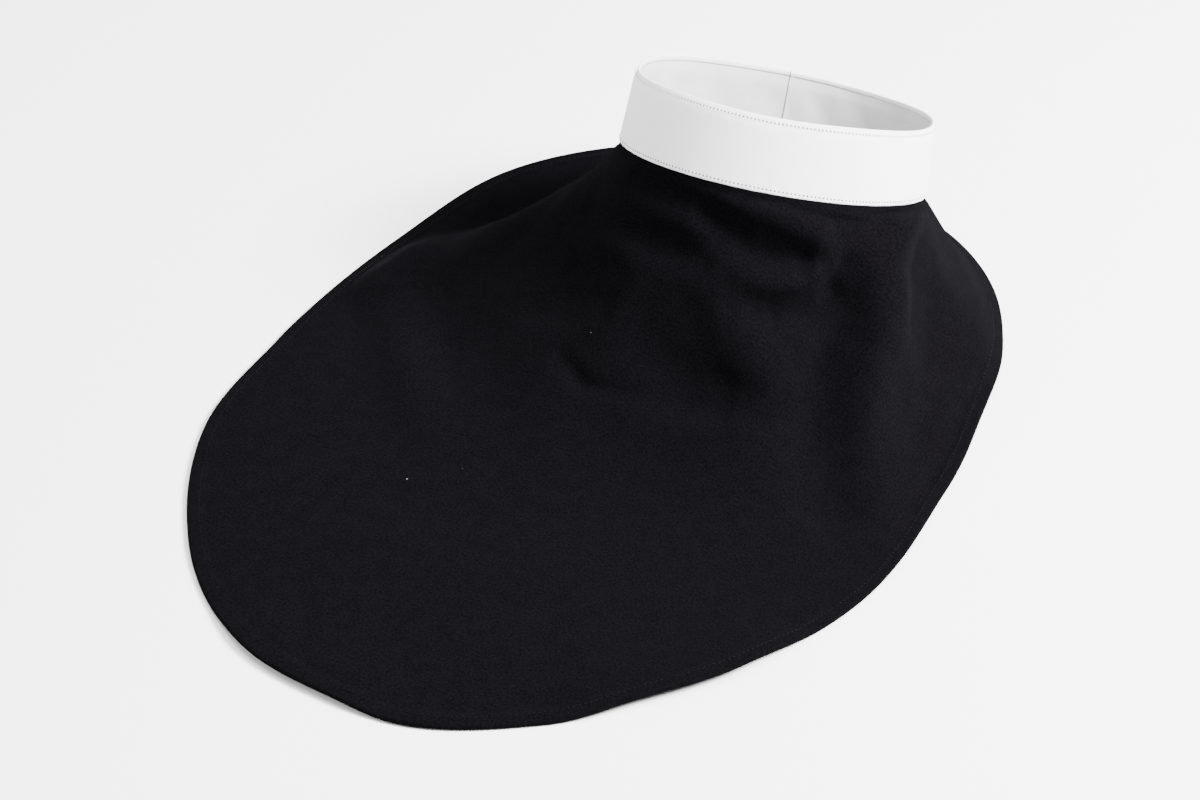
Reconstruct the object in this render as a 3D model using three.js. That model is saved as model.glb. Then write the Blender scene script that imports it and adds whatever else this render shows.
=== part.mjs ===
// A slip-on clerical collar: a stiff white neckband, lapped and fastened at the back, sewn to a black
// oval bib that lies on a table, with the collar standing up and leaning back out of the cloth.
// Millimetres, +Z up. The front of the bib points to -Y. The origin is under the middle of the bib.
import * as THREE from "three";

// Neckband
const neckRadius = 66; // outside of the band at its lower edge
const bandHeight = 31;
const bandTaper = 1.8; // how much smaller the radius is at the top edge
const facingWall = 1.2; // outer white layer
const liningWall = 1.0; // inner white layer
const layerGap = 0.3; // clearance between layers that touch
const lapLength = 24; // how far one end of the band passes over the other
const lapEase = 36; // length over which the inner end steps inwards
const fastenerWall = 1.2;
const fastenerLength = 17;
const fastenerHeight = 20;

// How the collar stands on the cloth
const neckRise = 66; // middle of the band's lower edge above the table
const bandLean = THREE.MathUtils.degToRad(25.5); // leans back
const bandSwing = THREE.MathUtils.degToRad(5.6); // turns to the right of the bib's middle line
const joinTurn = THREE.MathUtils.degToRad(-23.4); // the lap lies left of straight back
const neckFromBack = 90; // middle of the neck to the back hem
const neckOffMiddle = 20.5; // middle of the neck to the right of the bib's middle line

// Bib
const bibWidth = 293;
const bibLength = 403;
const widestFromFront = 193; // the front part is half an ellipse
const backSquareness = 2.5; // exponent of the squarer back part
const frontSquareness = 2;
const clothWall = 1.5;
const hemWall = 2.4; // the edge is folded under once
const hemWidth = 8;
const hemFade = 4; // the folded edge eases into the single cloth over this
const neckStand = 3; // short upright edge of the cloth under the band
const openingTurn = THREE.MathUtils.degToRad(0.6); // half the back opening, seen from the neck

// Fineness of the surfaces
const spokeCount = 88;
const rowCount = 20;
const rowCrowding = 1.9; // more rows near the neck, where the cloth is steep
const bandStations = 96;
const fastenerStations = 6;
const standRows = 2; // rows by the neck that no fold reaches
const foldFadeRows = 3; // rows over which the folds then set in
const hemSearchSteps = 40;

// How the cloth comes down from the neck, by the compass: 0 is the front, 90 the right, 180 the back.
// reach: share of the way to the hem at which it lies flat. hollow: 1 is a straight slope, more sags.
const slopes = [
  { compass: 0, reach: 0.56, hollow: 3.1 },
  { compass: 35, reach: 0.85, hollow: 3.0 },
  { compass: 62, reach: 0.98, hollow: 2.2 },
  { compass: 90, reach: 0.99, hollow: 1.15 },
  { compass: 135, reach: 0.97, hollow: 1.3 },
  { compass: 180, reach: 0.97, hollow: 1.35 },
  { compass: 215, reach: 0.8, hollow: 1.7 },
  { compass: 245, reach: 0.62, hollow: 2.1 },
  { compass: 272, reach: 0.85, hollow: 2.4 },
  { compass: 292, reach: 0.95, hollow: 2.4 },
  { compass: 325, reach: 0.66, hollow: 2.9 },
];

// Ridges (rise above 0) and dents (rise below 0). The rows of one fold are places along it, in order.
// compass in degrees; out is the share of the way from neck to hem; width and rise are shares of neckRise.
const folds = [
  { fold: "left_ridge", compass: 277, out: 0.2, width: 0.3, rise: 0.06 },
  { fold: "left_ridge", compass: 290, out: 0.52, width: 0.3, rise: 0.15 },
  { fold: "left_ridge", compass: 294, out: 0.8, width: 0.26, rise: 0.14 },
  { fold: "left_ridge", compass: 294, out: 0.98, width: 0.22, rise: 0.05 },
  { fold: "left_fold", compass: 307, out: 0.06, width: 0.3, rise: 0.04 },
  { fold: "left_fold", compass: 318, out: 0.18, width: 0.32, rise: 0.05 },
  { fold: "right_crest", compass: 84, out: 0.08, width: 0.4, rise: 0.05 },
  { fold: "right_crest", compass: 70, out: 0.2, width: 0.45, rise: 0.11 },
  { fold: "right_crest", compass: 66, out: 0.32, width: 0.45, rise: 0.12 },
  { fold: "right_crest", compass: 54, out: 0.42, width: 0.45, rise: 0.1 },
  { fold: "right_crest", compass: 43, out: 0.6, width: 0.5, rise: 0.05 },
  { fold: "right_dip", compass: 56, out: 0.13, width: 0.35, rise: -0.04 },
  { fold: "right_dip", compass: 50, out: 0.24, width: 0.38, rise: -0.08 },
  { fold: "right_dip", compass: 42, out: 0.4, width: 0.38, rise: -0.07 },
  { fold: "right_dip", compass: 41, out: 0.54, width: 0.38, rise: -0.03 },
  { fold: "throat_dip", compass: 334, out: 0.05, width: 0.32, rise: -0.04 },
  { fold: "throat_dip", compass: 5, out: 0.045, width: 0.32, rise: -0.05 },
  { fold: "seam_dip", compass: 16, out: 0.025, width: 0.3, rise: -0.05 },
  { fold: "seam_dip", compass: 42, out: 0.075, width: 0.32, rise: -0.08 },
  { fold: "oval_dent", compass: 17, out: 0.115, width: 0.32, rise: -0.07 },
  { fold: "oval_dent", compass: 31, out: 0.135, width: 0.34, rise: -0.1 },
  { fold: "oval_dent", compass: 45, out: 0.14, width: 0.32, rise: -0.07 },
  { fold: "slant_ridge", compass: 358, out: 0.11, width: 0.35, rise: 0.04 },
  { fold: "slant_ridge", compass: 23, out: 0.19, width: 0.35, rise: 0.07 },
  { fold: "slant_ridge", compass: 33, out: 0.24, width: 0.35, rise: 0.05 },
  { fold: "slant_dip", compass: 350, out: 0.18, width: 0.35, rise: -0.04 },
  { fold: "slant_dip", compass: 10, out: 0.19, width: 0.36, rise: -0.07 },
  { fold: "slant_dip", compass: 27, out: 0.3, width: 0.36, rise: -0.06 },
  { fold: "hem_lift_right", compass: 17, out: 0.97, width: 0.6, rise: 0.05 },
  { fold: "hem_lift_right", compass: 25, out: 1, width: 0.6, rise: 0.05 },
  { fold: "hem_lift_left", compass: 347, out: 0.97, width: 0.5, rise: 0.03 },
  { fold: "hem_lift_left", compass: 354, out: 1, width: 0.5, rise: 0.03 },
];

const fabricWhite = new THREE.MeshStandardMaterial({ color: 0xe9e9ec, roughness: 0.85, metalness: 0 });
const liningWhite = new THREE.MeshStandardMaterial({ color: 0xdcdadb, roughness: 0.9, metalness: 0 });
const fastenerWhite = new THREE.MeshStandardMaterial({ color: 0xd2d0cc, roughness: 0.95, metalness: 0 });
const fabricBlack = new THREE.MeshStandardMaterial({ color: 0x131315, roughness: 0.9, metalness: 0 });

const bandWall = facingWall + layerGap + liningWall;
const lapStep = bandWall + layerGap + fastenerWall + layerGap; // how far the inner end lies inside the outer
const halfLap = lapLength / 2 / neckRadius;
const easeTurn = lapEase / neckRadius;
const fullTurn = 2 * Math.PI;
const neckX = neckOffMiddle;
const neckY = bibLength / 2 - neckFromBack;
const widestY = widestFromFront - bibLength / 2;

// The band's own frame: its X runs to the collar's right, Y to its back and Z up its axis.
const collar = new THREE.Group();
collar.rotation.order = "ZXY";
collar.rotation.set(-bandLean, 0, bandSwing);
collar.position.set(neckX, neckY, neckRise);
collar.updateMatrixWorld();

function smooth(low, high, value) {
  return THREE.MathUtils.smoothstep(value, low, high);
}

// A closed wall between two surfaces of cloth, each a list of rows of points of one length.
function wallGeometry(outer, inner) {
  const lines = outer.length;
  const along = outer[0].length;
  const positions = [];
  const triangles = [];
  for (const surface of [outer, inner]) {
    for (const line of surface) {
      for (const point of line) positions.push(point.x, point.y, point.z);
    }
  }
  const outerAt = (line, k) => line * along + k;
  const innerAt = (line, k) => (lines + line) * along + k;
  const quad = (a, b, c, d) => triangles.push(a, b, c, a, c, d);
  for (let line = 0; line < lines - 1; line += 1) {
    for (let k = 0; k < along - 1; k += 1) {
      quad(outerAt(line, k), outerAt(line + 1, k), outerAt(line + 1, k + 1), outerAt(line, k + 1));
      quad(innerAt(line, k), innerAt(line, k + 1), innerAt(line + 1, k + 1), innerAt(line + 1, k));
    }
    const last = along - 1;
    quad(outerAt(line, 0), innerAt(line, 0), innerAt(line + 1, 0), outerAt(line + 1, 0));
    quad(outerAt(line, last), outerAt(line + 1, last), innerAt(line + 1, last), innerAt(line, last));
  }
  for (let k = 0; k < along - 1; k += 1) {
    const last = lines - 1;
    quad(outerAt(0, k), outerAt(0, k + 1), innerAt(0, k + 1), innerAt(0, k));
    quad(outerAt(last, k), innerAt(last, k), innerAt(last, k + 1), outerAt(last, k + 1));
  }
  const geometry = new THREE.BufferGeometry();
  geometry.setAttribute("position", new THREE.Float32BufferAttribute(positions, 3));
  geometry.setIndex(triangles);
  return geometry;
}

// Outside radius of the band at its lower edge. turn runs round from one end of the lap to the other.
function bandRadius(turn) {
  const innerEnd = fullTurn - halfLap;
  return neckRadius - lapStep * smooth(innerEnd - easeTurn, innerEnd, turn);
}

// A point in the band's own frame: turn 0 is the middle of the lap, and it runs by the collar's right.
function bandPoint(turn, radius, height) {
  const narrowed = radius - (bandTaper * height) / bandHeight;
  const angle = turn + joinTurn;
  return new THREE.Vector3(narrowed * Math.sin(angle), narrowed * Math.cos(angle), height);
}

// One layer of the band, running from one turn to another. depth is how far it lies inside the outer face.
function bandLayer({ from, to, stations, bottom, top, depth, wall, radiusAt }) {
  const outer = [];
  const inner = [];
  for (let station = 0; station <= stations; station += 1) {
    const turn = THREE.MathUtils.lerp(to, from, station / stations);
    const radius = radiusAt(turn) - depth;
    outer.push([bandPoint(turn, radius, bottom), bandPoint(turn, radius, top)]);
    inner.push([bandPoint(turn, radius - wall, bottom), bandPoint(turn, radius - wall, top)]);
  }
  return wallGeometry(outer, inner);
}

const wholeBand = {
  from: -halfLap,
  to: fullTurn + halfLap,
  stations: bandStations,
  bottom: 0,
  top: bandHeight,
  radiusAt: bandRadius,
};

function makeFacing() {
  const geometry = bandLayer({ ...wholeBand, depth: 0, wall: facingWall });
  return new THREE.Mesh(geometry, fabricWhite);
}

function makeLining() {
  const geometry = bandLayer({ ...wholeBand, depth: facingWall + layerGap, wall: liningWall });
  return new THREE.Mesh(geometry, liningWhite);
}

// The patch that holds the two ends together, between them.
function makeFastener() {
  const halfTurn = fastenerLength / 2 / neckRadius;
  const bottom = (bandHeight - fastenerHeight) / 2;
  const geometry = bandLayer({
    from: -halfTurn,
    to: halfTurn,
    stations: fastenerStations,
    bottom,
    top: bottom + fastenerHeight,
    depth: bandWall + layerGap,
    wall: fastenerWall,
    radiusAt: () => neckRadius,
  });
  return new THREE.Mesh(geometry, fastenerWhite);
}

// Distance from the middle of the neck to the hem in a compass direction of the table.
function hemDistance(direction) {
  let near = 0;
  let far = bibLength;
  for (let step = 0; step < hemSearchSteps; step += 1) {
    const middle = (near + far) / 2;
    const x = neckX + direction.x * middle;
    const y = neckY + direction.y * middle - widestY;
    const reach = y < 0 ? widestFromFront : bibLength - widestFromFront;
    const power = y < 0 ? frontSquareness : backSquareness;
    const inside = Math.abs((2 * x) / bibWidth) ** power + Math.abs(y / reach) ** power < 1;
    if (inside) near = middle;
    else far = middle;
  }
  return near;
}

function compassOf(direction) {
  return (THREE.MathUtils.radToDeg(Math.atan2(direction.x, -direction.y)) + 360) % 360;
}

// Reach and hollow of the slope between two rows of the table, eased from one to the next.
function slopeAt(compass) {
  const count = slopes.length;
  for (let row = 0; row < count; row += 1) {
    const from = slopes[row];
    const to = slopes[(row + 1) % count];
    const span = (to.compass - from.compass + 360) % 360;
    const past = (compass - from.compass + 360) % 360;
    if (past <= span) {
      const share = smooth(0, 1, past / span);
      const reach = THREE.MathUtils.lerp(from.reach, to.reach, share);
      const hollow = THREE.MathUtils.lerp(from.hollow, to.hollow, share);
      return { reach, hollow };
    }
  }
  return slopes[0];
}

// The cloth's middle surface before it is folded, out from the edge of the neck to the hem.
function clothPoint(neckEdge, out) {
  const direction = new THREE.Vector3(neckEdge.x - neckX, neckEdge.y - neckY, 0).normalize();
  const { reach, hollow } = slopeAt(compassOf(direction));
  const hemEdge = new THREE.Vector3(neckX, neckY, 0).addScaledVector(direction, hemDistance(direction));
  const x = THREE.MathUtils.lerp(neckEdge.x, hemEdge.x, out);
  const y = THREE.MathUtils.lerp(neckEdge.y, hemEdge.y, out);
  const fromHem = Math.hypot(hemEdge.x - x, hemEdge.y - y);
  const wall = THREE.MathUtils.lerp(hemWall, clothWall, smooth(hemWidth, hemWidth + hemFade, fromHem));
  const fall = Math.max(0, 1 - out / reach) ** hollow;
  return { point: new THREE.Vector3(x, y, wall / 2 + (neckEdge.z - wall / 2) * fall), wall };
}

// The edge of the cloth under the band, drop below the band's lower edge, in the part's frame.
function neckEdgeAt(turn, drop) {
  const depth = bandWall / 2;
  const edge = bandPoint(turn, bandRadius(turn) - depth, -drop);
  return edge.applyMatrix4(collar.matrixWorld);
}

// Where a place of the folds table lies on the cloth.
function placeAt(compass, out) {
  const angle = THREE.MathUtils.degToRad(compass);
  const aim = new THREE.Vector3(Math.sin(angle), -Math.cos(angle), 0);
  const inBand = aim.applyAxisAngle(new THREE.Vector3(0, 0, 1), -bandSwing);
  const turn = Math.atan2(inBand.x, inBand.y / Math.cos(bandLean)) - joinTurn;
  return clothPoint(neckEdgeAt(((turn % fullTurn) + fullTurn) % fullTurn, neckStand), out).point;
}

// The stretches of the folds, each between two neighbouring places of one fold.
const foldStretches = folds.slice(1).flatMap((to, index) => {
  const from = folds[index];
  if (from.fold !== to.fold) return [];
  const line = new THREE.Line3(placeAt(from.compass, from.out), placeAt(to.compass, to.out));
  return [{ fold: to.fold, line, from, to }];
});

// How far the folds push the cloth out at a point of the unfolded surface.
function foldRise(point) {
  const nearest = new THREE.Vector3();
  const rises = new Map();
  for (const { fold, line, from, to } of foldStretches) {
    const along = line.closestPointToPointParameter(point, true);
    line.at(along, nearest);
    const width = THREE.MathUtils.lerp(from.width, to.width, along) * neckRise;
    const share = Math.min(1, nearest.distanceTo(point) / width);
    const rise = THREE.MathUtils.lerp(from.rise, to.rise, along) * neckRise * (1 - share * share) ** 2;
    if (Math.abs(rise) > Math.abs(rises.get(fold) ?? 0)) rises.set(fold, rise);
  }
  return [...rises.values()].reduce((sum, rise) => sum + rise, 0);
}

// The bib's cloth: a short stand under the band, then the slope and the part that lies flat.
function makeBib() {
  const spokes = [];
  for (let spoke = 0; spoke <= spokeCount; spoke += 1) {
    const turn = THREE.MathUtils.lerp(openingTurn, fullTurn - openingTurn, spoke / spokeCount);
    const foot = neckEdgeAt(turn, neckStand);
    const line = [{ point: neckEdgeAt(turn, layerGap), wall: clothWall }];
    for (let row = 0; row <= rowCount; row += 1) {
      line.push(clothPoint(foot, (row / rowCount) ** rowCrowding));
    }
    spokes.push(line);
  }
  const last = spokes[0].length - 1;
  const normalAt = (spoke, k) => {
    const before = spokes[Math.max(0, spoke - 1)][k].point;
    const after = spokes[Math.min(spokeCount, spoke + 1)][k].point;
    const above = spokes[spoke][Math.max(0, k - 1)].point;
    const below = spokes[spoke][Math.min(last, k + 1)].point;
    return after.clone().sub(before).cross(below.clone().sub(above)).normalize();
  };
  const folded = spokes.map((line, spoke) =>
    line.map(({ point, wall }, k) => {
      const normal = normalAt(spoke, k);
      const settled = foldRise(point) * smooth(standRows - 1, standRows - 1 + foldFadeRows, k);
      return { point: point.clone().addScaledVector(normal, settled), wall, normal };
    }),
  );
  const surface = (side) =>
    folded.map((line) =>
      line.map(({ point, wall, normal }) => {
        const face = point.clone().addScaledVector(normal, (side * wall) / 2);
        face.z = Math.max(face.z, side > 0 ? wall : 0);
        return face;
      }),
    );
  return new THREE.Mesh(wallGeometry(surface(1), surface(-1)), fabricBlack);
}

const facing = makeFacing();
facing.name = "collar_facing";
const lining = makeLining();
lining.name = "collar_lining";
const fastener = makeFastener();
fastener.name = "back_fastener";
collar.add(facing, lining, fastener);

const bib = makeBib();
bib.name = "bib_cloth";

const clericalCollar = new THREE.Group();
clericalCollar.add(collar, bib);

export default clericalCollar;
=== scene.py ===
import math

import bpy
import numpy as np
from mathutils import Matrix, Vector


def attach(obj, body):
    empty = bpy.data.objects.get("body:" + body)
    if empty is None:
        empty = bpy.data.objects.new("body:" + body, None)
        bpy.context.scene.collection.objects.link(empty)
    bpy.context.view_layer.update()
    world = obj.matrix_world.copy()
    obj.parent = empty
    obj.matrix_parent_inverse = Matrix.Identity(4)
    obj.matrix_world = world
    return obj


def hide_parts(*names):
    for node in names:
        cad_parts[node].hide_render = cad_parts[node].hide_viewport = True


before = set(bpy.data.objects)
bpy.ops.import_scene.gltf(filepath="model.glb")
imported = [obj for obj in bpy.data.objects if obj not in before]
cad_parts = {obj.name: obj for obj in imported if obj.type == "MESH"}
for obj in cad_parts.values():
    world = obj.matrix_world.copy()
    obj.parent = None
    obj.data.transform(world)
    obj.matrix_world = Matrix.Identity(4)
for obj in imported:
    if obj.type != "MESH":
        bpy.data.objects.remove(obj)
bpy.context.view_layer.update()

# The view: a still camera above the bib's front and to its right, looking at the middle of the cloth.
# Its angle and distance were found from the two rims of the neckband.
camera_azimuth = math.radians(29)
camera_elevation = math.radians(38)
camera_distance = 1.5
camera_aim = np.array([-0.0065, 0.0096, 0.0])
camera_lens = 107.9
camera_film = 36
camera_back = np.array([
    math.sin(camera_azimuth) * math.cos(camera_elevation),
    -math.cos(camera_azimuth) * math.cos(camera_elevation),
    math.sin(camera_elevation),
])
camera = bpy.data.objects.new("camera", bpy.data.cameras.new("camera"))
camera.data.lens = camera_lens
camera.data.sensor_width = camera_film
camera.location = camera_aim + camera_back * camera_distance
camera.rotation_euler = (math.pi / 2 - camera_elevation, 0, camera_azimuth)
bpy.context.scene.collection.objects.link(camera)
bpy.context.scene.camera = camera

# The neckband's facing: white starched cotton round a stiffener, turned over the lining at the top edge.
# It is sewn to the bib along its lower edge, and its ends lap and fasten at the back.
neck_radius = 0.066
band_height = 0.031
band_taper = 0.0018
facing_wall = 0.0012
lining_wall = 0.001
layer_gap = 0.0003
lap_length = 0.024
lap_ease = 0.036
fastener_wall = 0.0012
neck_middle = np.array([0.0205, 0.1115, 0.066])
band_lean = math.radians(25.5)
band_swing = math.radians(5.6)
join_turn = math.radians(-23.4)
band_wall = facing_wall + layer_gap + lining_wall
lap_step = band_wall + layer_gap + fastener_wall + layer_gap
half_lap = lap_length / 2 / neck_radius
ease_turn = lap_ease / neck_radius
full_turn = 2 * math.pi
band_stations = 620
first_turn = -half_lap
inner_lap_short = 0.004
last_turn = full_turn + half_lap - inner_lap_short / neck_radius


def smooth(low, high, value):
    """Rises gently from 0 at low to 1 at high, for a number or an array."""
    share = np.clip((value - low) / (high - low), 0, 1)
    return share * share * (3 - 2 * share)


def band_radius(turn):
    """Outside radius of the band at its lower edge; the inner end of the lap steps inwards."""
    inner_end = full_turn - half_lap
    return neck_radius - lap_step * smooth(inner_end - ease_turn, inner_end, turn)


def stand_in_place(points):
    """Leans and swings points of the band's own frame and puts them on the bib."""
    lean_sin, lean_cos = math.sin(-band_lean), math.cos(band_lean)
    swing_sin, swing_cos = math.sin(band_swing), math.cos(band_swing)
    lean = np.array([[1, 0, 0], [0, lean_cos, -lean_sin], [0, lean_sin, lean_cos]])
    swing = np.array([[swing_cos, -swing_sin, 0], [swing_sin, swing_cos, 0], [0, 0, 1]])
    return points @ (swing @ lean).T + neck_middle


def band_points(turns, insets, heights):
    """Points of the band for arrays of turn, depth inside its outer face and height above its foot."""
    radius = band_radius(turns) - band_taper * heights / band_height - insets
    angle = turns + join_turn
    own = np.stack([radius * np.sin(angle), radius * np.cos(angle), heights + 0 * angle], axis=-1)
    return stand_in_place(own)


def wall_mesh(name, outer, inner, along, across):
    """A closed wall between two grids of points, with its length and height in metres as its UV map."""
    lines, points = outer.shape[:2]
    vertices = np.concatenate([outer.reshape(-1, 3), inner.reshape(-1, 3)])
    index = np.arange(lines * points).reshape(lines, points)
    other = index + lines * points
    here, right = index[:-1, :-1], index[1:, :-1]
    corner, above = index[1:, 1:], index[:-1, 1:]
    offset = lines * points
    front = np.stack([here, above, corner, right], axis=-1).reshape(-1, 4)
    back = np.stack([here, right, corner, above], axis=-1).reshape(-1, 4) + offset
    rims = [
        np.stack([index[:-1, 0], index[1:, 0], other[1:, 0], other[:-1, 0]], axis=-1),
        np.stack([index[:-1, -1], other[:-1, -1], other[1:, -1], index[1:, -1]], axis=-1),
        np.stack([index[0, :-1], other[0, :-1], other[0, 1:], index[0, 1:]], axis=-1),
        np.stack([index[-1, :-1], index[-1, 1:], other[-1, 1:], other[-1, :-1]], axis=-1),
    ]
    faces = np.concatenate([front, back, *rims])
    mesh = bpy.data.meshes.new(name)
    mesh.from_pydata(vertices.tolist(), [], faces.tolist())
    grid = np.stack([along + 0 * across, across + 0 * along], axis=-1).reshape(-1, 2)
    flat = np.concatenate([grid, grid])
    corners = np.zeros(len(mesh.loops), int)
    mesh.loops.foreach_get("vertex_index", corners)
    uv = mesh.uv_layers.new(name="cloth")
    uv.data.foreach_set("uv", flat[corners].ravel())
    mesh.polygons.foreach_set("use_smooth", [True] * len(mesh.polygons))
    mesh.update()
    piece = bpy.data.objects.new(name, mesh)
    bpy.context.scene.collection.objects.link(piece)
    return piece


edge_angles = np.radians([90, 62, 32, 0])


def rounded_edge(near_face, far_face):
    """Insets and heights of the two faces of a layer as they round off towards its lower edge."""
    middle = (near_face + far_face) / 2
    half = (far_face - near_face) / 2
    rise = half * (1 - np.cos(np.pi / 2 - edge_angles))
    return middle - half * np.cos(edge_angles), middle + half * np.cos(edge_angles), rise


rim_press = 0.0008
rim_press_reach = 0.005
turned_edge = 0.0016
turned_wall = 0.00035
turned_face = band_wall - 0.0005
roll_middle = (rim_press + turned_face) / 2
top_roll = (turned_face - rim_press) / 2
fold_middle = (facing_wall + turned_face - turned_wall) / 2
fold_radius = (turned_face - turned_wall - facing_wall) / 2
first_rise = 0.0016
rise_rows = 26
roll_rows = 13
roll_angles = np.linspace(math.pi, 0, roll_rows)
roll_start = band_height - top_roll
low_outer, low_inner, low_rise = rounded_edge(0, facing_wall)
rise_steps = np.linspace(first_rise, roll_start, rise_rows)
pressed = rim_press * smooth(band_height - rim_press_reach, roll_start, rise_steps)
roll_outer = roll_middle + top_roll * np.cos(roll_angles)
roll_outer_rise = roll_start + top_roll * np.sin(roll_angles)
roll_inner = fold_middle + fold_radius * np.cos(roll_angles)
roll_inner_rise = roll_start + fold_radius * np.sin(roll_angles)
turned_inset = turned_face + np.zeros(2)
turned_rise = roll_start - np.array([0.5, 1.0]) * turned_edge
facing_outer = np.concatenate([low_outer, pressed, roll_outer, turned_inset])
facing_outer_rise = np.concatenate([low_rise, rise_steps, roll_outer_rise, turned_rise])
facing_back = facing_wall + 0 * rise_steps
facing_inner = np.concatenate([low_inner, facing_back, roll_inner, turned_inset - turned_wall])
facing_inner_rise = np.concatenate([low_rise, rise_steps, roll_inner_rise, turned_rise])
band_turns = np.linspace(first_turn, last_turn, band_stations + 1)[:, None]
band_along = (band_turns - first_turn) * neck_radius
seam_pucker = 0.00012
pucker_length = 0.0085
pucker_reach = 0.004
pucker_wander = 1.7
pucker_wander_rate = 61
edge_drift = 0.00025
edge_drift_waves = 5
edge_drift_start = 0.6
lap_lift = 0.0008
back_lift = 0.0024
back_lift_turn = math.radians(315)
back_lift_spread = math.radians(38)


def edge_shift(turns, rises):
    """How far the band's edge wanders up and down; its back left and the lap's inner end stand higher."""
    inner_end = full_turn - half_lap
    wander = edge_drift * np.sin(turns * edge_drift_waves + edge_drift_start) * (rises / band_height) ** 2
    away = (turns - back_lift_turn + math.pi) % full_turn - math.pi
    wander = wander + back_lift * np.exp(-(away / back_lift_spread) ** 2) * (rises / band_height) ** 2
    return wander + lap_lift * smooth(inner_end - ease_turn, inner_end, turns) * rises / band_height


def band_grid(turns, insets, rises):
    """A face of the facing, a little puckered along the seam and wandering along the top edge."""
    along = (turns - first_turn) * neck_radius
    wander = pucker_wander * np.sin(along * pucker_wander_rate)
    pucker = seam_pucker * np.sin(full_turn * along / pucker_length + wander)
    insets = insets + pucker * np.exp(-rises / pucker_reach)
    return band_points(turns, insets, rises + edge_shift(turns, rises))


facing_lengths = np.hypot(np.diff(facing_outer), np.diff(facing_outer_rise))
facing_across = np.concatenate([[0], np.cumsum(facing_lengths)])
facing_across = facing_across - facing_across[len(low_rise)] + rise_steps[0]
facing = wall_mesh(
    "collar_facing_cloth",
    band_grid(band_turns, facing_outer[None], facing_outer_rise[None]),
    band_grid(band_turns, facing_inner[None], facing_inner_rise[None]),
    band_along,
    facing_across[None],
)


def new_material(name):
    """A material with one Principled shader, and its node tree."""
    material = bpy.data.materials.new(name)
    material.use_nodes = True
    return material, material.node_tree, material.node_tree.nodes["Principled BSDF"]


def add_node(tree, kind, inputs=None, **settings):
    """Adds a node, sets its properties and fills or links its inputs, which are named or numbered."""
    node = tree.nodes.new(kind)
    for key, value in settings.items():
        setattr(node, key, value)
    for key, value in (inputs or {}).items():
        if isinstance(value, bpy.types.NodeSocket):
            tree.links.new(value, node.inputs[key])
        else:
            node.inputs[key].default_value = value
    return node


def calculate(tree, operation, *values):
    """One Math node; returns its output."""
    return add_node(tree, "ShaderNodeMath", dict(enumerate(values)), operation=operation).outputs[0]


def make_group(name, inputs, outputs, kind="ShaderNodeTree"):
    """A node group with named sockets; inputs and outputs are (name, socket kind, value)."""
    group = bpy.data.node_groups.new(name, kind)
    for direction, sockets in (("INPUT", inputs), ("OUTPUT", outputs)):
        for socket_name, socket_kind, value in sockets:
            socket = group.interface.new_socket(socket_name, in_out=direction, socket_type=socket_kind)
            if value is not None:
                socket.default_value = value
    return group, group.nodes.new("NodeGroupInput"), group.nodes.new("NodeGroupOutput")


# Woven threads, for every cloth here: warp and weft pass over and under each other, and the yarn has
# thicker places. A twill shifts each thread a little past the last one.
slub_along = 90
slub_across = 2600
weave, weave_in, weave_out = make_group(
    "woven_threads",
    [
        ("Cloth", "NodeSocketVector", None),
        ("Thread Pitch", "NodeSocketFloat", 0.0004),
        ("Twill", "NodeSocketFloat", 0.0),
        ("Slub", "NodeSocketFloat", 0.5),
    ],
    [("Height", "NodeSocketFloat", None), ("Yarn", "NodeSocketFloat", None)],
)
weave_place = add_node(weave, "ShaderNodeSeparateXYZ", {0: weave_in.outputs["Cloth"]})
weave_rate = calculate(weave, "DIVIDE", full_turn / 2, weave_in.outputs["Thread Pitch"])
warp_turn = calculate(weave, "MULTIPLY", weave_place.outputs["X"], weave_rate)
weft_place = calculate(weave, "MULTIPLY", weave_place.outputs["Y"], weave_rate)
twill_shift = calculate(weave, "MULTIPLY", warp_turn, weave_in.outputs["Twill"])
weft_turn = calculate(weave, "ADD", weft_place, twill_shift)
warp_wave = calculate(weave, "SINE", warp_turn)
weft_wave = calculate(weave, "SINE", weft_turn)
over_under = calculate(weave, "MULTIPLY", warp_wave, weft_wave)
slub_layers = []
for slub_scale in ((slub_along, slub_across, 1), (slub_across, slub_along, 1)):
    slub_map = add_node(
        weave, "ShaderNodeMapping", {"Vector": weave_in.outputs["Cloth"], "Scale": slub_scale}
    )
    slub_noise = add_node(
        weave, "ShaderNodeTexNoise", {"Vector": slub_map.outputs[0], "Scale": 1.0, "Detail": 2.0}
    )
    slub_layers.append(calculate(weave, "SUBTRACT", slub_noise.outputs[0], 0.5))
slubs = calculate(weave, "ADD", *slub_layers)
slub_height = calculate(weave, "MULTIPLY", slubs, weave_in.outputs["Slub"])
half_weave = calculate(weave, "MULTIPLY", over_under, 0.5)
weave.links.new(calculate(weave, "ADD", half_weave, slub_height), weave_out.inputs["Height"])
weave.links.new(slubs, weave_out.inputs["Yarn"])

# Needle holes: a row of small pricks along the cloth at one height, a stitch apart. Each hole's mask is
# full inside hole_core and gone at hole_rim, in shares of its radius; the cotton sinks its bump there and
# paints shade into it.
hole_core = 0.5
hole_rim = 1.2
needle_row, needle_in, needle_out = make_group(
    "needle_row",
    [
        ("Cloth", "NodeSocketVector", None),
        ("Row Height", "NodeSocketFloat", 0.0016),
        ("Stitch Length", "NodeSocketFloat", 0.0017),
        ("Hole Radius", "NodeSocketFloat", 0.00044),
    ],
    [("Hole", "NodeSocketFloat", None)],
)
needle_place = add_node(needle_row, "ShaderNodeSeparateXYZ", {0: needle_in.outputs["Cloth"]})
half_stitch = calculate(needle_row, "MULTIPLY", needle_in.outputs["Stitch Length"], 0.5)
hole_step = calculate(needle_row, "PINGPONG", needle_place.outputs["X"], half_stitch)
hole_up = calculate(needle_row, "SUBTRACT", needle_place.outputs["Y"], needle_in.outputs["Row Height"])
step_square = calculate(needle_row, "POWER", hole_step, 2.0)
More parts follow.
